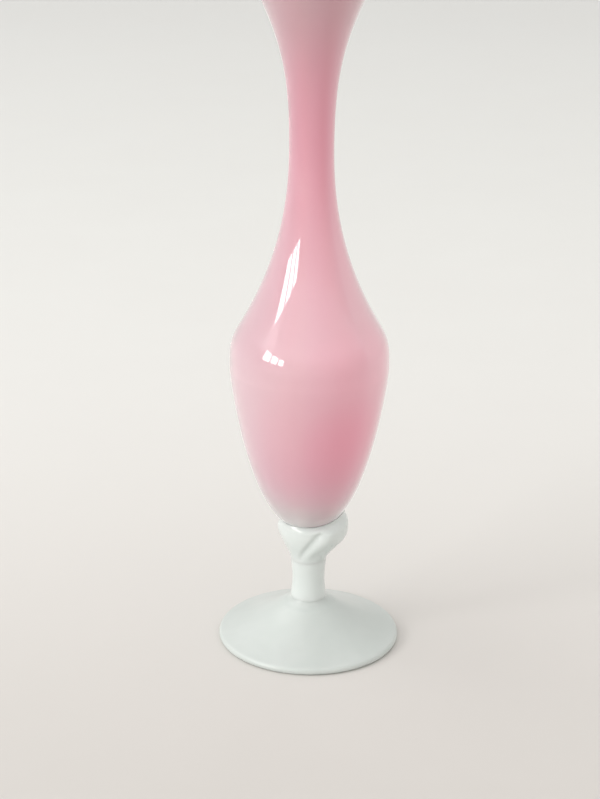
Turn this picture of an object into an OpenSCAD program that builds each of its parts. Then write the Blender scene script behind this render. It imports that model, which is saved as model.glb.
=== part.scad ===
// Footed glass bud vase.
// A white opal glass lining cased in rose glass, fused through a thin wafer to a twisted knop,
// a short stem and a spread foot. Millimetres, +Z up, origin where the vase's axis meets the table.

/* [Overall] */
// Height from the table to the top of the lip
vase_height = 240; // [200:1:300]
// Diameter across the foot
foot_diameter = 63.5; // [50:0.5:80]
// Diameter at the widest level of the bowl
bowl_diameter = 54; // [44:0.5:68]
// Outside diameter of the neck at its narrowest
neck_diameter = 14.8; // [12:0.2:20]
// Outside diameter across the lip
lip_diameter = 49; // [36:0.5:64]

/* [Foot] */
// Height from the table to the joint between foot and stem
foot_height = 15.5; // [11:0.5:20]
// Thickness of the foot's rounded edge
foot_edge = 2.2; // [1.6:0.1:3]
// Width of the flat ring that the foot rests on
rest_ring = 3.2; // [2:0.1:5]
// Depth of the hollow under the foot
underside_depth = 3.2; // [1:0.1:3.8]
// Diameter of the ground spot where the pontil rod was broken off
pontil_diameter = 14; // [8:0.5:20]
// Depth of the ground spot
pontil_depth = 0.4; // [0.2:0.1:1]

/* [Stem] */
// Length of the stem between foot and knop
stem_length = 14.5; // [8:0.5:24]
// Diameter of the stem's waist
stem_diameter = 11.6; // [8:0.2:14]
// Diameter of the fused joints at the stem's two ends
joint_diameter = 12.4; // [8.5:0.1:16]

/* [Knop] */
// Height of the knop from the stem to its seat for the wafer
knop_height = 14.5; // [10:0.5:20]
// Distance that the knop's mean outline stands out from the wafer
knop_margin = 0.8; // [0.4:0.1:2.5]
// Distance that the knop bulges out further on its right
knop_bulge = 2.7; // [0:0.1:4.5]
// Height that the knop's collar rises round the bottom of the bowl, on the right
collar_rise = 4.8; // [0:0.1:7]
// Number of twisted folds
fold_count = 3; // [2:1:5]
// Height of a fold between its crease and its crest
fold_depth = 1.2; // [0.4:0.1:2.4]
// Degrees that the folds twist over the knop's height
fold_twist = 62; // [0:1:120]

/* [Wafer] */
// Thickness of the wafer that joins the bowl to the knop
wafer_thickness = 1.5; // [1:0.1:2.5]
// Distance that the wafer's edge stands out from the bowl's flat bottom
wafer_margin = 0.4; // [0.3:0.1:1]

/* [Bowl and neck] */
// Diameter of the bowl's flat bottom
bowl_base_diameter = 19.4; // [15:0.2:23]
// Height from the bowl's bottom to its widest level
bowl_height = 55.5; // [40:0.5:70]
// Height from the widest level to the shoulder
shoulder_height = 13.7; // [8:0.1:16]
// Distance that the shoulder lies inside the widest level
shoulder_inset = 3.1; // [2:0.1:4.5]
// Height from the neck's narrowest level to the lip
flare_height = 63.5; // [45:0.5:80]
// Thickness of the rose casing
casing_wall = 1; // [0.6:0.1:1.6]
// Thickness of the white lining
lining_wall = 1.2; // [0.8:0.1:2]
// Thickness of the lining's solid bottom
lining_base = 5; // [3:0.5:9]

/* [Hidden] */
$fn = 96;

// Levels of the fused joints, from the table up
stem_base = foot_height;
knop_base = stem_base + stem_length;
knop_seat = knop_base + knop_height;
bowl_base = knop_seat + wafer_thickness;
bowl_level = bowl_base + bowl_height;
shoulder_level = bowl_level + shoulder_height;
neck_level = vase_height - flare_height;

foot_radius = foot_diameter / 2;
joint_radius = joint_diameter / 2;
stem_radius = stem_diameter / 2;
pontil_radius = pontil_diameter / 2;
bowl_base_radius = bowl_base_diameter / 2;
bowl_radius = bowl_diameter / 2;
neck_radius = neck_diameter / 2;
lip_radius = lip_diameter / 2;
wafer_radius = bowl_base_radius + wafer_margin;
wall = casing_wall + lining_wall;

// Straight steps along one curved stretch of a profile, and round one edge
curve_steps = 12;
edge_steps = 6;

// Point at t on the cubic curve from a to d with handles at b and c.
function bezier(a, b, c, d, t) =
    pow(1 - t, 3) * a + 3 * pow(1 - t, 2) * t * b + 3 * (1 - t) * t * t * c + t * t * t * d;

// Points on a quarter or half turn, or any other arc, about a centre.
function arc(centre, radius, start, end, steps) =
    [
        for (i = [0 : steps])
            let (a = start + (end - start) * i / steps)
            centre + radius * [cos(a), sin(a)]
    ];

function reversed(points) = [for (i = [len(points) - 1 : -1 : 0]) points[i]];
function without_first(points) = [for (i = [1 : len(points) - 1]) points[i]];

/* Outside of the bowl and neck */

// A knot is [radius, height, slope, reach below, reach above]. The slope is radius gained per
// height. A reach is the share of a stretch's rise that the knot's handle covers on that side.
reach_below = 3;
reach_above = 4;

// One stretch of profile between two knots, without its last point.
function stretch(low, high) =
    let (
        rise = high[1] - low[1],
        low_arm = low[reach_above] * rise,
        high_arm = high[reach_below] * rise,
        a = [low[0], low[1]],
        b = [low[0] + low[2] * low_arm, low[1] + low_arm],
        c = [high[0] - high[2] * high_arm, high[1] - high_arm],
        d = [high[0], high[1]]
    )
    [for (i = [0 : curve_steps - 1]) bezier(a, b, c, d, i / curve_steps)];

// The lip is one round edge across both glasses, on a wall that leans out at the lip's slope.
lip_slope = 0.6;
lip_out = [1, -lip_slope] / norm([1, lip_slope]);
lip_up = [-lip_out[1], lip_out[0]];
lip_centre = [lip_radius - wall / 2, vase_height - wall / 2];
lip_end = lip_centre + wall / 2 * lip_out;
function lip_point(a) = lip_centre + wall / 2 * (cos(a) * lip_out + sin(a) * lip_up);

bottom_knot = [bowl_base_radius, bowl_base, 1.08, 0, 0.21];
belly_knot = [bowl_radius, bowl_level, 0, 0.07, 0.45];
shoulder_knot = [bowl_radius - shoulder_inset, shoulder_level, -0.59, 0.36, 0.32];
neck_knot = [neck_radius, neck_level, 0, 0.37, 0.41];
lip_knot = [lip_end[0], lip_end[1], lip_slope, 0.38, 0];
outside = concat(
    stretch(bottom_knot, belly_knot),
    stretch(belly_knot, shoulder_knot),
    stretch(shoulder_knot, neck_knot),
    stretch(neck_knot, lip_knot),
    [lip_end]
);

// Unit normal that points out of the glass at point i of the outside.
function outward(i) =
    let (along = outside[min(i + 1, len(outside) - 1)] - outside[max(i - 1, 0)])
    i == len(outside) - 1 ? lip_out : [along[1], -along[0]] / norm(along);

// The outside moved into the glass by a depth, above a level, and its radius at that level.
function inset(depth) = [for (i = [0 : len(outside) - 1]) outside[i] - depth * outward(i)];
function above(profile, level) = [for (p = profile) if (p[1] > level) p];
function radius_at(profile, level) = lookup(level, [for (p = profile) [p[1], p[0]]]);

/* Where the two glasses meet */

fused_level = bowl_base + casing_wall;
fused_bottom = [radius_at(inset(casing_wall), fused_level), fused_level];
fused_face = concat([fused_bottom], above(inset(casing_wall), fused_level));
fused_angle = acos(1 - 2 * casing_wall / wall);

/* Foot */

// A curve from one point to another has its handles at the two given shares of the way.
function curve(from, low_share, high_share, to, steps) =
    let (way = to - from)
    [
        for (i = [0 : steps])
            bezier(
                from,
                from + [low_share[0] * way[0], low_share[1] * way[1]],
                from + [high_share[0] * way[0], high_share[1] * way[1]],
                to,
                i / steps
            )
    ];

// The spread of the foot runs from the round bead at the stem down to the round edge.
bead_width = 3;
bead_height = 2.5;
spread_top = [joint_radius + bead_width, foot_height - bead_height];
edge_radius = foot_edge / 2;
edge_centre = [foot_radius - edge_radius, edge_radius];
edge_top_angle = 66;
edge_top = edge_centre + edge_radius * [cos(edge_top_angle), sin(edge_top_angle)];
bead = curve([joint_radius, foot_height], [0.2, 0.5], [0.5, 0.72], spread_top, edge_steps);
spread = curve(spread_top, [0.33, 0.38], [0.67, 0.71], edge_top, curve_steps);

// The hollow rises from the inside of the resting ring to the flat round the ground spot.
ring_inside = edge_centre[0] - rest_ring;
hollow_top = [pontil_radius, underside_depth];
hollow = curve([ring_inside, 0], [0.14, 0.7], [0.53, 1], hollow_top, curve_steps);

module foot() {
    color([0.90, 0.93, 0.91])
        rotate_extrude()
            polygon(concat(
                [[0, foot_height]],
                bead,
                without_first(spread),
                without_first(arc(edge_centre, edge_radius, edge_top_angle, -90, edge_steps)),
                hollow,
                [
                    [pontil_radius, underside_depth + pontil_depth],
                    [0, underside_depth + pontil_depth]
                ]
            ));
}

/* Stem */

module stem() {
    color([0.92, 0.95, 0.93])
        rotate_extrude()
            polygon(concat(
                [[0, stem_base]],
                [
                    for (i = [0 : curve_steps])
                        let (waist = (joint_radius - stem_radius) * sin(180 * i / curve_steps))
                        [joint_radius - waist, stem_base + stem_length * i / curve_steps]
                ],
                [[0, knop_base]]
            ));
}

/* Knop */

knop_sides = 60;
outer_rings = 14;
cup_rings = 9;
knop_radius = wafer_radius + knop_margin;

// Glass fused along a curved seat stands this far off, so that the two touch without overlapping.
fuse_gap = 0.06;
cup_radius = wafer_radius + fuse_gap;

// Least glass round the wafer and bowl, least height of the rim round the wafer, and its rounding
cup_wall = 0.4;
cup_lip = 0.4;
cup_round = 0.3;

// Direction of a crease at the seat, of the bulge, and of the collar's highest point
crease_direction = -69;
bulge_direction = 0;
collar_direction = 10;

// Height of the folded glass, 0 in a crease and 1 on a crest, by degrees past a crease.
// A fold climbs steeply out of its crease to its crest and falls away gently to the next.
crest_past = 26;
crest_sharpness = 0.8;
function fold(angle) =
    let (
        step = 360 / fold_count,
        past = angle - step * floor(angle / step)
    )
    past < crest_past ? pow(sin(90 * past / crest_past), crest_sharpness)
        : (1 + cos(180 * (past - crest_past) / (step - crest_past))) / 2;
function crease_at(level) = crease_direction + fold_twist * (level - knop_seat) / knop_height;

// 1 towards a direction and 0 away from it, the narrower the higher the power.
function towards(a, direction, power) = pow((1 + cos(a - direction)) / 2, power);
collar_power = 5;
bulge_power = 1.5;

// Level of the knop's rim in a direction
function rim_level(a) =
    knop_seat + cup_lip + collar_rise * towards(a, collar_direction, collar_power);

// The bulge is full from this share of the knop's height up, and grows from the stem this sharply.
full_share = 0.75;
swell_sharpness = 1.3;

// Inside and outside radius of the knop in a direction at a level.
function cup_inside(level) = max(cup_radius, radius_at(outside, level) + fuse_gap);
function knop_outside(a, level) =
    let (
        share = min(1, (level - knop_base) / knop_height),
        spread = share * share * (3 - 2 * share),
        mean = joint_radius + (knop_radius - joint_radius) * spread,
        swell = pow(sin(90 * min(1, share / full_share)), swell_sharpness),
        bulge = knop_bulge * swell * towards(a, bulge_direction, bulge_power),
        ripple = fold_depth * spread * (fold(a - crease_at(level)) - 0.5),
        least = level < knop_seat ? 0 : cup_inside(level) + cup_wall
    )
    max(mean + bulge + ripple, least);

function ring_point(a, radius, level) = [radius * cos(a), radius * sin(a), level];

// Point on one ring of the knop: up the outside, over the rim and down into the cup.
function knop_point(ring, a) =
    let (
        rim = rim_level(a),
        shoulder = rim - cup_round,
        up = knop_base + (shoulder - knop_base) * ring / outer_rings,
        down = shoulder + (knop_seat - shoulder) * (ring - outer_rings - 2) / cup_rings
    )
    ring <= outer_rings ? ring_point(a, knop_outside(a, up), up) :
    ring == outer_rings + 1 ?
        ring_point(a, (knop_outside(a, shoulder) + cup_inside(rim)) / 2, rim) :
    ring_point(a, cup_inside(down), down);

module twisted_knop() {
    last_ring = outer_rings + 2 + cup_rings;
    points = [
        for (ring = [0 : last_ring], side = [0 : knop_sides - 1])
            knop_point(ring, 360 * side / knop_sides)
    ];
    walls = [
        for (ring = [0 : last_ring - 1], side = [0 : knop_sides - 1])
            let (
                next = (side + 1) % knop_sides,
                low = ring * knop_sides,
                high = low + knop_sides
            )
            each [
                [low + side, high + side, high + next],
                [low + side, high + next, low + next]
            ]
    ];
    underside = [for (side = [0 : knop_sides - 1]) side];
    seat = [for (side = [knop_sides - 1 : -1 : 0]) last_ring * knop_sides + side];
    color([0.91, 0.94, 0.92])
        polyhedron(points, concat(walls, [underside, seat]), convexity = 6);
}

/* Wafer */

module joining_wafer() {
    color([0.93, 0.94, 0.92])
        rotate_extrude()
            polygon(concat(
                [[0, knop_seat]],
                arc(
                    [wafer_radius - wafer_thickness / 2, knop_seat + wafer_thickness / 2],
                    wafer_thickness / 2, -90, 90, 2 * edge_steps
                ),
                [[0, bowl_base]]
            ));
}

/* Bowl and neck */

module rose_casing() {
    color([0.90, 0.64, 0.70])
        rotate_extrude()
            polygon(concat(
                [[0, bowl_base]],
                outside,
                [for (i = [1 : edge_steps]) lip_point(fused_angle * i / edge_steps)],
                reversed(fused_face),
                [[0, fused_level]]
            ));
}

// The inside of the lining ends in a round bottom above its solid base.
inside_bottom = fused_level + lining_base;
round_height = 8;
round_level = inside_bottom + round_height;
round_start = [radius_at(inset(wall), round_level), round_level];
round_bottom = curve(round_start, [0.14, 0.55], [0.4, 1], [0, inside_bottom], curve_steps);

module opal_lining() {
    lip_sweep = 180 - fused_angle;
    color([0.95, 0.94, 0.93])
        rotate_extrude()
            polygon(concat(
                [[0, fused_level]],
                fused_face,
                [for (i = [0 : edge_steps - 1]) lip_point(fused_angle + lip_sweep * i / edge_steps)],
                reversed(above(inset(wall), round_level)),
                round_bottom
            ));
}

foot();
stem();
twisted_knop();
joining_wafer();
rose_casing();
opal_lining();
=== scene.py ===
"""Glass bud vase: smooth blown-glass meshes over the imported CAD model.

Metres, +Z up. The camera looks from the front, -Y, and +X is on the right.
"""

import math

import bpy
from mathutils import Euler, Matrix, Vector, noise


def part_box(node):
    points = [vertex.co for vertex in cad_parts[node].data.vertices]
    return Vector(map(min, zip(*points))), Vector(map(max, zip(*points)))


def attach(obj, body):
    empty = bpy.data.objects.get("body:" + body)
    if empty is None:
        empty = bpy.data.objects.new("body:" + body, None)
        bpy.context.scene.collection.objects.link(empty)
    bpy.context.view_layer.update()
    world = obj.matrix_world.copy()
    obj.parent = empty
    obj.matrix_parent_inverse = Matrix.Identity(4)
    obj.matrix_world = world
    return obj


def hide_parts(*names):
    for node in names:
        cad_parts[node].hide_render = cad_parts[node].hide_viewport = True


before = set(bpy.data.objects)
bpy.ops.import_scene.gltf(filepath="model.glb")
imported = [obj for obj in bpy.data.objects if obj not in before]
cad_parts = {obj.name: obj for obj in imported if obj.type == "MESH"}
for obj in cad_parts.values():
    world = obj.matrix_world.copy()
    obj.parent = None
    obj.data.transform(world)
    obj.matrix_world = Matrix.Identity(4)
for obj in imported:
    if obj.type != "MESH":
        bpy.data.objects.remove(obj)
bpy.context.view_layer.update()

MM = 0.001
TURN = 2 * math.pi

# ---------------------------------------------------------------- places, from the frame

foot_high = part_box("foot")[1]
stem_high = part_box("stem")[1]
wafer_low, wafer_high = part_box("joining_wafer")
casing_low, casing_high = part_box("rose_casing")
lining_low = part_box("opal_lining")[0]

FOOT_RADIUS = foot_high.x
FOOT_TOP = foot_high.z
STEM_TOP = stem_high.z
JOINT_RADIUS = stem_high.x
WAFER_RADIUS = wafer_high.x
SEAT = wafer_low.z
BOWL_BASE = casing_low.z
BOWL_RADIUS = casing_high.x
LIP_TOP = casing_high.z
FUSED_LEVEL = lining_low.z
CASING_WALL = FUSED_LEVEL - BOWL_BASE

AROUND = 160  # faces round every blown piece
SHARP_ANGLE = 40  # degrees between faces that meet in a true edge


# ---------------------------------------------------------------- small helpers


def mix(a, b, t):
    return a + (b - a) * t


def clamp01(t):
    return max(0.0, min(1.0, t))


def smooth(t):
    t = clamp01(t)
    return t * t * (3 - 2 * t)


def curve(a, b, c, d, steps):
    """Points along a cubic curve in (radius, height), without the last one."""
    points = []
    for step in range(steps):
        t = step / steps
        s = 1 - t
        pulls = [(s * s * s, a), (3 * s * s * t, b), (3 * s * t * t, c), (t * t * t, d)]
        points.append(tuple(sum(pull * place[i] for pull, place in pulls) for i in range(2)))
    return points


def curve_by_shares(start, end, arms, steps):
    """A curve whose two middle points are given as shares of the way out and of the way up."""
    inner = [(mix(start[0], end[0], x), mix(start[1], end[1], y)) for x, y in arms]
    return curve(start, *inner, end, steps)


def curve_by_slopes(low, high, low_reach, high_reach, steps):
    """A curve between two (radius, height, slope) knots. A reach is a share of the way up."""
    rise = high[1] - low[1]
    low_arm = low_reach * rise
    high_arm = high_reach * rise
    return curve(
        (low[0], low[1]),
        (low[0] + low[2] * low_arm, low[1] + low_arm),
        (high[0] - high[2] * high_arm, high[1] - high_arm),
        (high[0], high[1]),
        steps,
    )


def arc(centre, radius, start, end, steps):
    """Points on an arc from one angle to another, in degrees, both ends included."""
    points = []
    for i in range(steps + 1):
        a = math.radians(mix(start, end, i / steps))
        points.append((centre[0] + radius * math.cos(a), centre[1] + radius * math.sin(a)))
    return points


def disc(height, radius, steps):
    """Points across a flat bottom, from the axis outwards, without the edge."""
    return [(radius * i / steps, height) for i in range(steps)]


def circle(radius, height, around=AROUND):
    """Points round the axis."""
    turns = [TURN * i / around for i in range(around)]
    return [Vector((radius * math.cos(a), radius * math.sin(a), height)) for a in turns]


def fan(centre, first, around):
    """Faces between a centre point and a ring of points that are numbered from first on.

    They look down where the ring's points run anticlockwise, seen from above.
    """
    return [(centre, first + (i + 1) % around, first + i) for i in range(around)]


def bands(first, rings, around):
    """Faces between rings of points that are numbered from first on.

    They look outwards where the rings go up.
    """
    faces = []
    for low in range(first, first + (rings - 1) * around, around):
        high = low + around
        for i in range(around):
            j = (i + 1) % around
            faces.append((low + i, low + j, high + j, high + i))
    return faces


def turned_over(faces):
    """The same faces, looking the other way."""
    return [(face[0], *face[:0:-1]) for face in faces]


def make_mesh(name, verts, faces):
    mesh = bpy.data.meshes.new(name)
    mesh.from_pydata(verts, [], faces)
    mesh.validate()
    mesh.polygons.foreach_set("use_smooth", [True] * len(mesh.polygons))
    mesh.set_sharp_from_angle(angle=math.radians(SHARP_ANGLE))
    piece = bpy.data.objects.new(name, mesh)
    bpy.context.scene.collection.objects.link(piece)
    return piece


def make_solid(name, start, rings, end):
    """A closed solid: rings of points, closed off by a point on the axis at each end."""
    around = len(rings[0])
    verts = [start] + [point for ring in rings for point in ring] + [end]
    last = len(verts) - 1
    faces = fan(0, 1, around) + bands(1, len(rings), around)
    faces += turned_over(fan(last, last - around, around))
    return make_mesh(name, verts, faces)


def revolve(name, outline, bend):
    """A closed solid from an outline that runs from the axis outwards, up and back to the axis.

    bend moves each point.
    """
    rings = [[bend(point) for point in circle(*place)] for place in outline[1:-1]]
    start = bend(Vector((0, 0, outline[0][1])))
    end = bend(Vector((0, 0, outline[-1][1])))
    return make_solid(name, start, rings, end)


# ---------------------------------------------------------------- bowl and neck

BOWL_BASE_RADIUS = 10.1 * MM  # 0.4 mm more than the CAD has, which fills the knop's rim
BOWL_HEIGHT = 55.5 * MM  # from the bottom to the widest place
SHOULDER_HEIGHT = 13.7 * MM
SHOULDER_INSET = 3.1 * MM
FLARE_HEIGHT = 63.5 * MM
NECK_RADIUS = 7.4 * MM
LIP_RADIUS = 24.5 * MM
LINING_WALL = 1.2 * MM
LINING_BASE = 5 * MM
WALL = CASING_WALL + LINING_WALL

BELLY_LEVEL = BOWL_BASE + BOWL_HEIGHT
SHOULDER_LEVEL = BELLY_LEVEL + SHOULDER_HEIGHT
NECK_LEVEL = LIP_TOP - FLARE_HEIGHT

# Slopes are the radius that is gained for each unit of height.
BOTTOM_SLOPE = 1.0
SHOULDER_SLOPE = -0.59
LIP_SLOPE = 0.6
OUTLINE_CURVES = [  # reach of the lower slope, reach of the upper slope, points
    (0.21, 0.07, 44),
    (0.45, 0.36, 32),
    (0.32, 0.37, 48),
    (0.41, 0.38, 44),
]

# The lip is rounded over the full wall, square to the outside of the flare.
LIP_NORM = math.hypot(1, LIP_SLOPE)
LIP_OUT = (1 / LIP_NORM, -LIP_SLOPE / LIP_NORM)
LIP_UP = (-LIP_OUT[1], LIP_OUT[0])
LIP_CENTRE = (LIP_RADIUS - WALL / 2, LIP_TOP - WALL / 2)
CASING_LIP_STEPS = 8
LINING_LIP_STEPS = 10

# The lining's inside has a round bottom. Arms are the two middle points of a curve, as
# shares of its way in or out and of its way up or down.
ROUND_HEIGHT = 8 * MM
ROUND_ARMS = ((0.14, 0.55), (0.4, 1))
ROUND_STEPS = 16

OVAL = 0.0025  # share of the radius
OVAL_START = 0.8  # radians
OVAL_TWIST = 1.5  # radians from the bottom to the lip
WAVE = 0.0016  # share of the radius
WAVES_AROUND = 2.2
WAVES_UP = 30  # for each metre
BLOWN_FROM = 8 * MM  # height above the bottom from which both have their full size
BOWL_OFFSET = -0.4 * MM  # of the bottom, against the lip
OFFSET_FADE = 1.2  # the offset has faded out at 1 / 1.2 of the height
ON_AXIS = 1e-6  # points nearer to the axis than this keep their place


def hand_blown(point):
    """The slight lean, ovalness and tooling waves of the bowl and neck."""
    height = clamp01((point.z - BOWL_BASE) / (LIP_TOP - BOWL_BASE))
    radius = math.hypot(point.x, point.y)
    if radius > ON_AXIS:
        a = math.atan2(point.y, point.x)
        oval = OVAL * math.cos(2 * a + OVAL_START + OVAL_TWIST * height)
        place = (WAVES_AROUND * math.cos(a), WAVES_AROUND * math.sin(a), WAVES_UP * point.z)
        wave = WAVE * noise.noise(Vector(place))
        scale = 1 + (oval + wave) * smooth((point.z - BOWL_BASE) / BLOWN_FROM)
        point = Vector((point.x * scale, point.y * scale, point.z))
    lean = BOWL_OFFSET * (1 - smooth(height * OFFSET_FADE))
    return Vector((point.x + lean, point.y, point.z))


def lip_point(angle):
    """A point on the lip's rounding: 0 degrees is on its outside, 180 on its inside."""
    a = math.radians(angle)
    return tuple(
        LIP_CENTRE[i] + WALL / 2 * (math.cos(a) * LIP_OUT[i] + math.sin(a) * LIP_UP[i])
        for i in range(2)
    )


def outside_outline():
    """The outside of the bowl and neck, from the edge of its flat bottom to its lip."""
    knots = [
        (BOWL_BASE_RADIUS, BOWL_BASE, BOTTOM_SLOPE),
        (BOWL_RADIUS, BELLY_LEVEL, 0),
        (BOWL_RADIUS - SHOULDER_INSET, SHOULDER_LEVEL, SHOULDER_SLOPE),
        (NECK_RADIUS, NECK_LEVEL, 0),
        (*lip_point(0), LIP_SLOPE),
    ]
    points = []
    for low, high, shape in zip(knots, knots[1:], OUTLINE_CURVES):
        points += curve_by_slopes(low, high, *shape)
    return points + [lip_point(0)]


OUTSIDE = outside_outline()


def inset(depth):
    """The outside moved into the glass by a depth."""
    points = []
    for i, (radius, height) in enumerate(OUTSIDE):
        before = OUTSIDE[max(i - 1, 0)]
        after = OUTSIDE[min(i + 1, len(OUTSIDE) - 1)]
        along = (after[0] - before[0], after[1] - before[1])
        size = math.hypot(*along)
        out = LIP_OUT if i == len(OUTSIDE) - 1 else (along[1] / size, -along[0] / size)
        points.append((radius - depth * out[0], height - depth * out[1]))
    return points


def radius_at(outline, height):
    """The radius of an outline at a height. Below the outline it is that of the first point."""
    for (r0, z0), (r1, z1) in zip(outline, outline[1:]):
        if z0 <= height <= z1:
            return mix(r0, r1, (height - z0) / (z1 - z0))
    return outline[0][0]


# The face where casing and lining are fused, from the bottom's corner up to the lip
CORNER_STEP = 0.2 * MM  # least height between the corner and the next point
FUSED_CORNER = radius_at(inset(CASING_WALL), FUSED_LEVEL)
FUSED_FACE = [p for p in inset(CASING_WALL) if p[1] > FUSED_LEVEL + CORNER_STEP]
FUSED_ANGLE = math.degrees(math.acos(1 - 2 * CASING_WALL / WALL))  # on the lip's rounding


def make_casing():
    steps = CASING_LIP_STEPS
    outline = disc(BOWL_BASE, BOWL_BASE_RADIUS, steps=3)
    outline += OUTSIDE
    outline += [lip_point(FUSED_ANGLE * i / steps) for i in range(1, steps + 1)]
    outline += FUSED_FACE[::-1]
    outline += [(FUSED_CORNER, FUSED_LEVEL)]
    outline += disc(FUSED_LEVEL, FUSED_CORNER, steps=3)[::-1]
    return revolve("rose_casing_glass", outline, hand_blown)


def make_lining():
    bottom = FUSED_LEVEL + LINING_BASE
    round_level = bottom + ROUND_HEIGHT
    side = radius_at(inset(WALL), round_level)
    inner = [p for p in inset(WALL) if p[1] > round_level]
    sweep = 180 - FUSED_ANGLE
    steps = LINING_LIP_STEPS
    outline = disc(FUSED_LEVEL, FUSED_CORNER, steps=3)
    outline += [(FUSED_CORNER, FUSED_LEVEL)]
    outline += FUSED_FACE
    outline += [lip_point(FUSED_ANGLE + sweep * i / steps) for i in range(steps)]
    outline += inner[::-1]
    outline += curve_by_shares((side, round_level), (0, bottom), ROUND_ARMS, ROUND_STEPS)
    outline += [(0, bottom)]
    return revolve("opal_lining_glass", outline, hand_blown)


# ---------------------------------------------------------------- foot and stem

STEM_OFFSET = -0.12 * MM  # the stem, knop and wafer stand this far off the foot's centre
STEM_WAIST = 0.55 * MM  # the stem's radius is this much less at half height
WAIST_POWER = 1.5
STEM_STEPS = 28

BEAD_WIDTH = 3 * MM  # the small rounding where the foot runs up into the stem
BEAD_HEIGHT = 2.5 * MM
BEAD_ARMS = ((0.2, 0.5), (0.5, 0.72))
SPREAD_ARMS = ((0.27, 0.40), (0.62, 0.77))
EDGE_RADIUS = 1.3 * MM
EDGE_TOP_ANGLE = 66
REST_RING = 3.2 * MM  # width of the flat ring that the foot rests on
REST_POINTS = (0.2, 0.6)  # points across the ring, as shares of its width
HOLLOW = 3.2 * MM  # depth of the underside, inside the ring
HOLLOW_SIDE_ARM = 3 * MM
HOLLOW_SIDE_CLIMB = 0.7  # share of its depth
HOLLOW_ROOF = 0.6  # share of the ring's radius
PONTIL_RADIUS = 7 * MM
PONTIL_DEPTH = 0.4 * MM
PONTIL_EDGE = 0.5 * MM  # width of the sloping side of the pontil mark
PONTIL_POINT = (0.3, 0.6)  # on that side: shares of its width and depth

UNEVEN = 0.006  # share of the foot's radius
UNEVEN_WAVES = [(2, 1.0, 0.6), (3, 0.6, 2.1)]  # number round the edge, size, start in radians
SPREAD_LEVEL = 1.5 * EDGE_RADIUS  # above it lies the top of the foot, which the tool shaped
TOOL_WAVE = 0.10 * MM
TOOL_WAVES = 260  # for each metre
TOOL_SLICE = 3.1  # the slice of the noise that is used


def set_off(point):
    """The stem, knop and wafer stand a little to the left of the foot's centre."""
    return Vector((point.x + STEM_OFFSET, point.y, point.z))


def hand_spread(point):
    """The foot's slightly uneven edge and the faint waves that its tool left."""
    radius = math.hypot(point.x, point.y)
    a = math.atan2(point.y, point.x)
    out = smooth((radius - JOINT_RADIUS) / (FOOT_RADIUS - JOINT_RADIUS))
    # The unevenness only takes away, so that the foot stays inside the CAD's.
    shrink = sum(size * (math.cos(n * a + start) - 1) for n, size, start in UNEVEN_WAVES)
    scale = 1 + UNEVEN * shrink * out
    offset = lift = 0.0
    if point.z > SPREAD_LEVEL:
        # The middle of the foot's top goes with the stem.
        offset = STEM_OFFSET * (1 - smooth(3 * out))
        place = Vector((TOOL_WAVES * point.x, TOOL_WAVES * point.y, TOOL_SLICE))
        lift = TOOL_WAVE * noise.noise(place) * out
    return Vector((point.x * scale + offset, point.y * scale, point.z + lift))


def make_foot():
    edge_centre = (FOOT_RADIUS - EDGE_RADIUS, EDGE_RADIUS)
    edge = arc(edge_centre, EDGE_RADIUS, EDGE_TOP_ANGLE, -90, steps=14)
    bead_end = (JOINT_RADIUS + BEAD_WIDTH, FOOT_TOP - BEAD_HEIGHT)
    ring = edge_centre[0] - REST_RING
    pontil_inside = PONTIL_RADIUS - PONTIL_EDGE
    pontil_top = HOLLOW + PONTIL_DEPTH
    pontil_out, pontil_up = PONTIL_POINT
    # Drawn from the top outwards and back along the underside, and turned round at the end
    outline = disc(FOOT_TOP, JOINT_RADIUS, steps=4)
    outline += curve_by_shares((JOINT_RADIUS, FOOT_TOP), bead_end, BEAD_ARMS, steps=12)
    outline += curve_by_shares(bead_end, edge[0], SPREAD_ARMS, steps=40)
    outline += edge
    outline += [(ring + share * REST_RING, 0) for share in reversed(REST_POINTS)]
    outline += curve(
        (ring, 0),
        (ring - HOLLOW_SIDE_ARM, HOLLOW_SIDE_CLIMB * HOLLOW),
        (HOLLOW_ROOF * ring, HOLLOW),
        (PONTIL_RADIUS, HOLLOW),
        steps=24,
    )
    outline += [
        (PONTIL_RADIUS, HOLLOW),
        (PONTIL_RADIUS - pontil_out * PONTIL_EDGE, HOLLOW + pontil_up * PONTIL_DEPTH),
        (pontil_inside, pontil_top),
    ]
    outline += disc(pontil_top, pontil_inside, steps=5)[::-1]
    return revolve("foot_glass", outline[::-1], hand_spread)


def make_stem():
    outline = disc(FOOT_TOP, JOINT_RADIUS, steps=4)
    for i in range(STEM_STEPS + 1):
        share = i / STEM_STEPS
        narrow = STEM_WAIST * math.sin(math.pi * share) ** WAIST_POWER
        outline.append((JOINT_RADIUS - narrow, mix(FOOT_TOP, STEM_TOP, share)))
    outline += disc(STEM_TOP, JOINT_RADIUS, steps=4)[::-1]
    return revolve("stem_glass", outline, set_off)


# ---------------------------------------------------------------- knop and wafer

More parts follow.
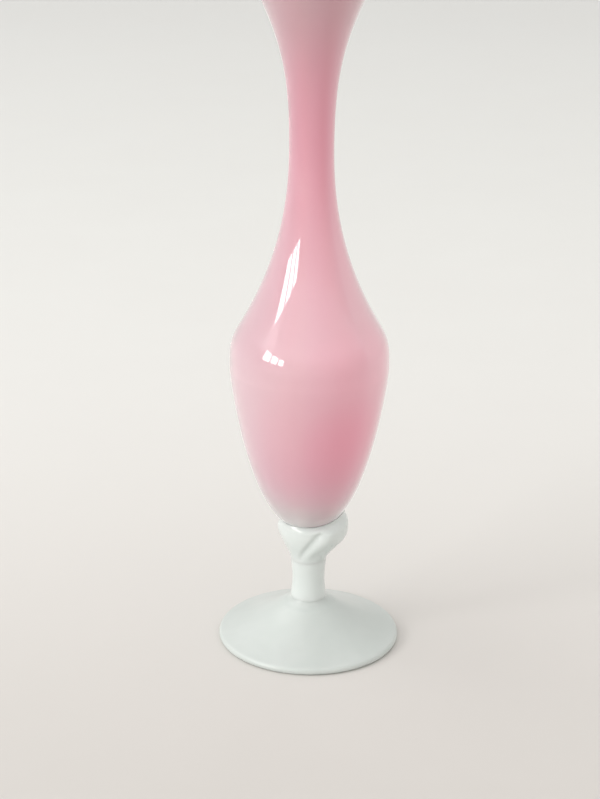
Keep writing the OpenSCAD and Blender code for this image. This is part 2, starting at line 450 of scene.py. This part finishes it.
# A side is an angle in degrees, round from the front towards the right.
WAFER_EDGE = WAFER_RADIUS - 0.2 * MM
KNOP_RADIUS = WAFER_RADIUS + 0.15 * MM
WIDE_FROM = 0.85  # share of the knop's height where it is fully widened
WIDEN_POWER = 1.45  # the higher, the later it widens
KNOP_BULGE = 3.5 * MM
BULGE_SIDE = 90
BULGE_POWER = 1.5
BULGE_FROM = 0.75  # share of the knop's height where it bulges fully
RIM = 0.12 * MM  # least thickness of the knop's rim round the wafer
RIM_RISE = 1.1 * MM  # above the seat, away from the collar
RIM_LAP = 0.3 * MM  # the rim's inside goes this far into the bowl and wafer
COLLAR_RISE = 3.5 * MM
COLLAR_SIDE = 98
COLLAR_POWER = 5
ROLL_DEPTH = 1.2 * MM  # the bulge starts to roll over inwards this far below the seat
ROLL_POWERS = (2.4, 1.3)  # how late and how steeply it rolls over

FOLDS = 3
FOLD_DEPTH = 1.0 * MM
FOLD_AT_SEAT = 22.0  # side of one crease at the seat
FOLD_TWIST = 3.6  # degrees for each millimetre of height
FOLD_FROM = 0.5  # share of the knop's height where the folds have their full depth
FOLD_FADE_DEPTH = 1.5 * MM  # the folds start to fade out this far below the seat
FOLD_FADE_HEIGHT = 2.2 * MM
CREASE_WIDTH = 8  # degrees
RIDGE_WIDTH = 13
RIDGE_PAST = 19  # degrees from the crease to its ridge
RIDGE_SHARE = 0.6  # of the crease's depth

KNOP_AROUND = 240
KNOP_ROWS = 76
KNOP_INNER_ROWS = 5
KNOP_ROW_POWER = 0.9


def fold_height(side, height):
    """The folds in the twisted glass: a narrow crease with a soft ridge on its right."""
    step = 360 / FOLDS
    crease = FOLD_AT_SEAT + FOLD_TWIST * (height - SEAT) / MM
    past = (side - crease + step / 2) % step - step / 2
    ridge = math.exp(-(((past - RIDGE_PAST) / RIDGE_WIDTH) ** 2))
    groove = math.exp(-((past / CREASE_WIDTH) ** 2))
    return RIDGE_SHARE * ridge - groove


def towards(side, centre, power):
    """1 towards a side and 0 away from it, the narrower the higher the power."""
    return (0.5 + 0.5 * math.cos(math.radians(side - centre))) ** power


def collar_level(side):
    """Top of the knop, which climbs round the bottom of the bowl on the right."""
    return SEAT + RIM_RISE + COLLAR_RISE * towards(side, COLLAR_SIDE, COLLAR_POWER)


def seat_radius(height):
    """Radius of the wafer, or of the bowl above it, which the knop's rim wraps."""
    return max(WAFER_EDGE, radius_at(OUTSIDE, height) if height > BOWL_BASE else 0)


def knop_radius_at(side, height):
    """Radius of the knop's outside."""
    share = clamp01((height - STEM_TOP) / (SEAT - STEM_TOP))
    widen = math.sin(math.pi / 2 * clamp01(share / WIDE_FROM)) ** WIDEN_POWER
    mean = mix(JOINT_RADIUS, KNOP_RADIUS, widen)
    bulge = KNOP_BULGE * smooth(share / BULGE_FROM) * towards(side, BULGE_SIDE, BULGE_POWER)
    # The folds fade out at the stem and at the rim.
    fade_in = smooth(share / FOLD_FROM)
    fade_out = smooth((height - SEAT + FOLD_FADE_DEPTH) / FOLD_FADE_HEIGHT)
    fold = FOLD_DEPTH * fade_in * (1 - fade_out) * fold_height(side, height)
    if height < SEAT - ROLL_DEPTH:
        return mean + bulge + fold
    # Near the seat the bulge rolls over inwards, and it runs out thinly on the bowl.
    over = clamp01((height - SEAT + ROLL_DEPTH) / (collar_level(side) - SEAT + ROLL_DEPTH))
    roll = (1 - over ** ROLL_POWERS[0]) ** ROLL_POWERS[1]
    seat = seat_radius(height) + RIM
    return seat + max(0.0, mean + bulge + fold - seat) * roll


def make_knop():
    """Rows of points up the outside, and then a few down the inside of the rim to the seat."""
    rings = []
    for row in range(KNOP_ROWS + 1 + KNOP_INNER_ROWS):
        ring = []
        for i in range(KNOP_AROUND):
            side = 360 * i / KNOP_AROUND
            top = collar_level(side)
            if row <= KNOP_ROWS:
                height = mix(STEM_TOP, top, (row / KNOP_ROWS) ** KNOP_ROW_POWER)
                radius = knop_radius_at(side, height)
            else:
                height = mix(top, SEAT, (row - KNOP_ROWS - 1) / (KNOP_INNER_ROWS - 1))
                radius = seat_radius(height) - RIM_LAP
            a = math.radians(side - 90)
            ring.append(set_off(Vector((radius * math.cos(a), radius * math.sin(a), height))))
        rings.append(ring)
    start = set_off(Vector((0, 0, STEM_TOP)))
    end = set_off(Vector((0, 0, SEAT)))
    return make_solid("twisted_knop_glass", start, rings, end)


def make_wafer():
    half = (BOWL_BASE - SEAT) / 2
    centre = (WAFER_EDGE - half, SEAT + half)
    outline = disc(SEAT, centre[0], steps=4)
    outline += arc(centre, half, -90, 90, steps=16)
    outline += disc(BOWL_BASE, centre[0], steps=4)[::-1]
    return revolve("joining_wafer_glass", outline, set_off)


# ---------------------------------------------------------------- materials


def linear(r, g, b):
    """A display colour, 0 to 255, as the linear colour that a shader takes."""

    def one(c):
        c = c / 255
        return c / 12.92 if c <= 0.04045 else ((c + 0.055) / 1.055) ** 2.4

    return (one(r), one(g), one(b), 1.0)


class Nodes:
    """A material's node tree, with short calls to add and join nodes."""

    def __init__(self, name):
        self.material = bpy.data.materials.new(name)
        self.material.use_nodes = True
        self.tree = self.material.node_tree
        self.tree.nodes.clear()
        self.output = self.add("ShaderNodeOutputMaterial")
        self.shader = self.add("ShaderNodeBsdfPrincipled")
        self.join(self.shader.outputs["BSDF"], self.output.inputs["Surface"])
        self.place = self.add("ShaderNodeTexCoord").outputs["Object"]

    def add(self, kind, **values):
        node = self.tree.nodes.new(kind)
        for key, value in values.items():
            setattr(node, key, value)
        return node

    def join(self, source, target):
        self.tree.links.new(source, target)

    def feed(self, target, value):
        """Gives a socket a number or a colour, or joins another node's output to it."""
        if isinstance(value, (int, float, tuple)):
            target.default_value = value
        else:
            self.join(value, target)

    def value(self, **values):
        """Sets inputs of the shader. A name has _ where the input's own name has a space."""
        for key, value in values.items():
            self.feed(self.shader.inputs[key.replace("_", " ")], value)

    def axes(self):
        """The place's X, Y and Z."""
        split = self.add("ShaderNodeSeparateXYZ")
        self.join(self.place, split.inputs[0])
        return split.outputs["X"], split.outputs["Y"], split.outputs["Z"]

    def math(self, operation, a, b):
        node = self.add("ShaderNodeMath", operation=operation)
        self.feed(node.inputs[0], a)
        self.feed(node.inputs[1], b)
        return node.outputs[0]

    def ramp(self, factor, stops):
        """A smooth run of colours. Each stop is a position from 0 to 1 and a colour."""
        node = self.add("ShaderNodeValToRGB")
        node.color_ramp.interpolation = "B_SPLINE"
        elements = node.color_ramp.elements
        while len(elements) > 1:
            elements.remove(elements[-1])
        elements[0].position, elements[0].color = stops[0]
        for position, colour in stops[1:]:
            element = elements.new(position)
            element.color = colour
        self.join(factor, node.inputs[0])
        return node.outputs[0]

    def colours_along(self, axis, stops, drift=0.0):
        """Display colours at places along an axis, in metres. drift moves them by a share."""
        low, high = stops[0][0], stops[-1][0]
        share = self.math("DIVIDE", self.math("SUBTRACT", axis, low), high - low)
        shares = [((place - low) / (high - low), linear(*colour)) for place, colour in stops]
        return self.ramp(self.math("ADD", share, drift), shares)

    def noise(self, scale, detail, vector=None):
        node = self.add("ShaderNodeTexNoise")
        node.inputs["Scale"].default_value = scale
        node.inputs["Detail"].default_value = detail
        self.join(vector or self.place, node.inputs["Vector"])
        return node.outputs["Fac"]

    def mix_colour(self, factor, a, b, mode="MIX"):
        node = self.add("ShaderNodeMix", data_type="RGBA", blend_type=mode)
        for number, value in ((0, factor), (6, a), (7, b)):
            self.feed(node.inputs[number], value)
        return node.outputs[2]

    def bump(self, height, strength, distance):
        node = self.add("ShaderNodeBump")
        node.inputs["Strength"].default_value = strength
        node.inputs["Distance"].default_value = distance
        self.join(height, node.inputs["Height"])
        self.join(node.outputs["Normal"], self.shader.inputs["Normal"])


ROSE_BY_HEIGHT = [  # millimetres above the table, display colour
    (46, (194, 188, 189)),
    (52, (196, 185, 187)),
    (58, (199, 171, 179)),
    (66, (203, 159, 171)),
    (80, (208, 168, 178)),
    (100, (208, 172, 180)),
    (106, (204, 168, 176)),
    (118, (195, 157, 165)),
    (135, (201, 160, 169)),
    (160, (200, 145, 157)),
    (180, (196, 136, 150)),
    (205, (189, 138, 149)),
    (225, (184, 151, 157)),
    (240, (184, 159, 163)),
]
ROSE_AND_LIGHT_BY_SIDE = [  # degrees round from the front towards the right, tint; partly the casing's uneven colour and partly painted light: a pale painted reflection on the left and on the right edge, and a deeper rose just right of the front, where light through the glass saturates it
    (-150, (0.96, 1.0, 1.0)),
    (-67, (0.91, 1.0, 1.0)),
    (-44, (0.93, 1.03, 1.03)),
    (-24, (0.99, 1.04, 1.05)),
    (-6, (1.02, 1.0, 1.01)),
    (14, (1.05, 0.94, 0.965)),
    (30, (1.05, 0.89, 0.91)),
    (48, (1.06, 1.01, 1.02)),
    (67, (1.02, 1.10, 1.10)),
    (150, (0.96, 1.0, 1.0)),
]
CLOUD_DRIFT = 0.05  # share of the height that the clouds move the colours by
STREAK_ROSE = (206, 120, 142)
STREAK_SHARE = 0.10
STREAK_SCALE = (150, 150, 9)  # noise cells for each metre: the streaks run up the glass
DEEP_ROSE = (214, 114, 140)
DEEP_AND_SHADED_PLACES = [  # where the rose is deeper, partly from thicker colour in the casing and partly as painted shade on the lower right, where light has come through more glass: middle and reach in millimetres, share
    ((20, -15, 83), 40, 0.5),
    ((12, -19, 81), 18, 0.34),
]
DEEP_LIMIT = 0.8  # the middle of such a place is evened out from this share on


def streaks(nodes):
    """A noise that is drawn out into streaks."""
    mapping = nodes.add("ShaderNodeMapping")
    nodes.feed(mapping.inputs["Scale"], STREAK_SCALE)
    nodes.join(nodes.place, mapping.inputs["Vector"])
    return nodes.noise(scale=1, detail=3, vector=mapping.outputs[0])


def rose_material():
    n = Nodes("rose_glass_look")
    x, y, z = n.axes()
    cloud = n.math("SUBTRACT", n.noise(scale=38, detail=3), 0.5)
    drift = n.math("MULTIPLY", cloud, CLOUD_DRIFT)
    rose = n.colours_along(z, [(height * MM, c) for height, c in ROSE_BY_HEIGHT], drift)
    streak = n.math("MULTIPLY", streaks(n), STREAK_SHARE)
    rose = n.mix_colour(streak, rose, linear(*STREAK_ROSE))
    # Tints by side: partly the casing's uneven colour, partly painted light (pale painted
    # reflections at the sides, deeper rose right of the front).
    side = n.math("ARCTAN2", x, n.math("MULTIPLY", y, -1.0))
    tints = [(angle / 360 + 0.5, (*tint, 1.0)) for angle, tint in ROSE_AND_LIGHT_BY_SIDE]
    tint = n.ramp(n.math("ADD", n.math("DIVIDE", side, TURN), 0.5), tints)
    rose = n.mix_colour(1.0, rose, tint, "MULTIPLY")
    # Deeper rose on the lower right: partly thicker colour in the casing, partly painted shade.
    for place, reach, share in DEEP_AND_SHADED_PLACES:
        apart = n.add("ShaderNodeVectorMath", operation="DISTANCE")
        n.join(n.place, apart.inputs[0])
        n.feed(apart.inputs[1], tuple(c * MM for c in place))
        near = n.math("SUBTRACT", 1.0, n.math("DIVIDE", apart.outputs["Value"], reach * MM))
        deepening = n.math("SMOOTH_MIN", n.math("MAXIMUM", near, 0.0), DEEP_LIMIT)
        rose = n.mix_colour(n.math("MULTIPLY", deepening, share), rose, linear(*DEEP_ROSE))
    n.value(
        Base_Color=rose,
        Roughness=0.07,
        IOR=1.52,
        Coat_Weight=0.9,
        Coat_Roughness=0.02,
        Sheen_Weight=0.35,
        Sheen_Roughness=0.35,
    )
    n.bump(n.noise(scale=95, detail=2), strength=0.05, distance=0.4 * MM)
    return n.material


def opal_material(name, colour, deep, scale, roughness):
    """Milk glass that is clouded between two colours. scale is clouds for each metre."""
    n = Nodes(name)
    n.value(
        Base_Color=n.mix_colour(n.noise(scale, detail=4), linear(*colour), linear(*deep)),
        Roughness=roughness,
        IOR=1.5,
        Coat_Weight=0.4,
        Coat_Roughness=roughness / 2,
        Subsurface_Weight=0.35,
        Subsurface_Radius=(1.0, 1.0, 1.0),
        Subsurface_Scale=2.5 * MM,
    )
    n.bump(n.noise(scale=120, detail=2), strength=0.06, distance=0.4 * MM)
    return n.material


# ---------------------------------------------------------------- stage

FLOOR_RADIUS = 3.6
FLOOR_CURVE = 1.6
FLOOR_AROUND = 96
FLAT_RINGS = (0.15, 0.4, 0.8, 1.3)
PAPER_SHADE_BY_DISTANCE = [  # metres behind the vase, display colour; painted shade: the paper darkens towards the front, standing in for light that the camera side blocks, and a little far behind
    (-2.40, (236, 233, 230)),
    (-1.20, (224, 221, 217)),
    (-0.50, (203, 199, 195)),
    (-0.30, (201, 197, 193)),
    (-0.10, (210, 207, 203)),
    (0.08, (230, 228, 225)),
    (0.26, (236, 236, 234)),
    (0.60, (234, 235, 233)),
    (1.10, (228, 229, 228)),
    (1.30, (226, 227, 226)),
]
PAPER_CLOUD = (226, 224, 222)
PAPER_CLOUD_SHARE = 0.3


def paper_material():
    n = Nodes("paper_look")
    # Painted shade along Y, with the paper's own random clouding mixed in below.
    paper = n.colours_along(n.axes()[1], PAPER_SHADE_BY_DISTANCE)
    cloud = n.math("MULTIPLY", n.noise(scale=14, detail=4), PAPER_CLOUD_SHARE)
    paper = n.mix_colour(cloud, paper, linear(*PAPER_CLOUD))
    n.value(Base_Color=paper, Roughness=0.9, Specular_IOR_Level=0.2)
    return n.material


def make_floor():
    """A round sheet that is flat under the vase and curves up at its edge."""
    outline = [(radius, 0) for radius in FLAT_RINGS]
    outline += arc((FLOOR_RADIUS - FLOOR_CURVE, FLOOR_CURVE), FLOOR_CURVE, -90, 0, steps=14)
    verts = [Vector((0, 0, 0))]
    for radius, height in outline:
        verts += circle(radius, height, FLOOR_AROUND)
    faces = fan(0, 1, FLOOR_AROUND) + bands(1, len(outline), FLOOR_AROUND)
    floor = make_mesh("paper_floor", verts, turned_over(faces))
    floor.data.materials.append(paper_material())


# ---------------------------------------------------------------- light and camera

SKY_COLOUR = (1.0, 0.985, 0.96, 1.0)
SKY_STRENGTH = 0.885

# The window's wall faces the vase, and its panes follow each other towards the front.
WINDOW_SIDE = 80.0  # degrees left of the front
WINDOW_DISTANCE = 1.8
WINDOW_START = 0.25  # from the wall's nearest place to the vase, to the first pane's edge
WINDOW_SILL = 0.48
WINDOW_COLOUR = (1, 0.995, 0.98)
PANES = 3
PANE_SIZE = (0.38, 0.54)
PANE_GAP = 0.1
PANE_POWER = 6.2

# The pale ceiling and wall above the window
CEILING_PLACE = (-1.7, 0.1, 2.0)
CEILING_TARGET = (0, 0.1, 0.1)
CEILING_SIZE = (2.6, 2.0)
CEILING_POWER = 13.0
CEILING_COLOUR = (1, 0.99, 0.97)

# A card above on the right that lights the cased glass only. It stands for the light that
# comes through the glass to that side.
CARD_SIDE = 68.0  # degrees right of the front
CARD_DISTANCE = 1.25
CARD_HEIGHT = 1.1
CARD_TARGET = (0, 0, 0.12)
CARD_SIZE = (1.3, 0.8)
CARD_POWER = 14.5
CARD_COLOUR = (1, 0.99, 0.975)

CAMERA_PLACE = Vector((-3.4 * MM, -609 * MM, 324 * MM))
CAMERA_PITCH = 21.1  # degrees down
CAMERA_ROLL = 0.3
CAMERA_LENS = 86.7
CAMERA_SENSOR = 36
CAMERA_NEAR = 0.01


def to_left(angle):
    """The level direction, seen from the vase, that is this many degrees left of the front."""
    a = math.radians(-90 - angle)
    return Vector((math.cos(a), math.sin(a), 0))


def area_light(name, place, target, size, power, colour):
    data = bpy.data.lights.new(name, "AREA")
    data.shape = "RECTANGLE"
    data.size, data.size_y = size
    data.energy = power
    data.color = colour
    lamp = bpy.data.objects.new(name, data)
    lamp.location = place
    lamp.rotation_euler = (Vector(target) - Vector(place)).to_track_quat("-Z", "Y").to_euler()
    bpy.context.scene.collection.objects.link(lamp)
    return lamp


def make_window():
    """A window of three panes on the left: the gaps between them are its glazing bars."""
    out = to_left(WINDOW_SIDE)
    along = to_left(WINDOW_SIDE - 90)
    width, height = PANE_SIZE
    for pane in range(PANES):
        start = WINDOW_START + pane * (width + PANE_GAP)
        place = out * WINDOW_DISTANCE + along * (start + width / 2)
        place.z = WINDOW_SILL + height / 2
        area_light(f"pane_{pane}", place, place - out, PANE_SIZE, PANE_POWER, WINDOW_COLOUR)


def make_sky():
    world = bpy.data.worlds.new("room")
    world.use_nodes = True
    sky = world.node_tree.nodes["Background"]
    sky.inputs["Color"].default_value = SKY_COLOUR
    sky.inputs["Strength"].default_value = SKY_STRENGTH
    bpy.context.scene.world = world


def make_card(cased_glass):
    place = to_left(-CARD_SIDE) * CARD_DISTANCE + Vector((0, 0, CARD_HEIGHT))
    card = area_light("card", place, CARD_TARGET, CARD_SIZE, CARD_POWER, CARD_COLOUR)
    card.visible_glossy = False
    lit = bpy.data.collections.new("lit_by_card")
    for piece in cased_glass:
        lit.objects.link(piece)
    card.light_linking.receiver_collection = lit


def make_lights(cased_glass):
    make_sky()
    make_window()
    area_light(
        "ceiling", CEILING_PLACE, CEILING_TARGET, CEILING_SIZE, CEILING_POWER, CEILING_COLOUR
    )
    make_card(cased_glass)


def make_camera():
    data = bpy.data.cameras.new("camera")
    data.lens = CAMERA_LENS
    data.sensor_width = CAMERA_SENSOR
    data.clip_start = CAMERA_NEAR
    camera = bpy.data.objects.new("camera", data)
    camera.location = CAMERA_PLACE
    camera.rotation_euler = Euler((math.radians(90 - CAMERA_PITCH), 0, 0))
    camera.rotation_euler.rotate_axis("Z", math.radians(CAMERA_ROLL))
    bpy.context.scene.collection.objects.link(camera)
    bpy.context.scene.camera = camera


# ---------------------------------------------------------------- build


def dress(piece, node, material):
    piece.data.materials.append(material)
    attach(piece, "root")
    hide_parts(node)


rose_glass = rose_material()
stem_opal = opal_material("stem_opal_look", (229, 235, 234), (217, 225, 223), 90, 0.2)
foot_opal = opal_material("foot_opal_look", (213, 219, 217), (199, 207, 204), 60, 0.36)
lining_opal = opal_material("lining_opal_look", (240, 232, 230), (232, 220, 219), 50, 0.12)

dress(make_foot(), "foot", foot_opal)
dress(make_stem(), "stem", stem_opal)
dress(make_knop(), "twisted_knop", stem_opal)
dress(make_wafer(), "joining_wafer", stem_opal)
casing = make_casing()
lining = make_lining()
dress(casing, "rose_casing", rose_glass)
dress(lining, "opal_lining", lining_opal)

make_floor()
make_lights([casing, lining])
make_camera()
bpy.context.scene.view_settings.view_transform = "Standard"
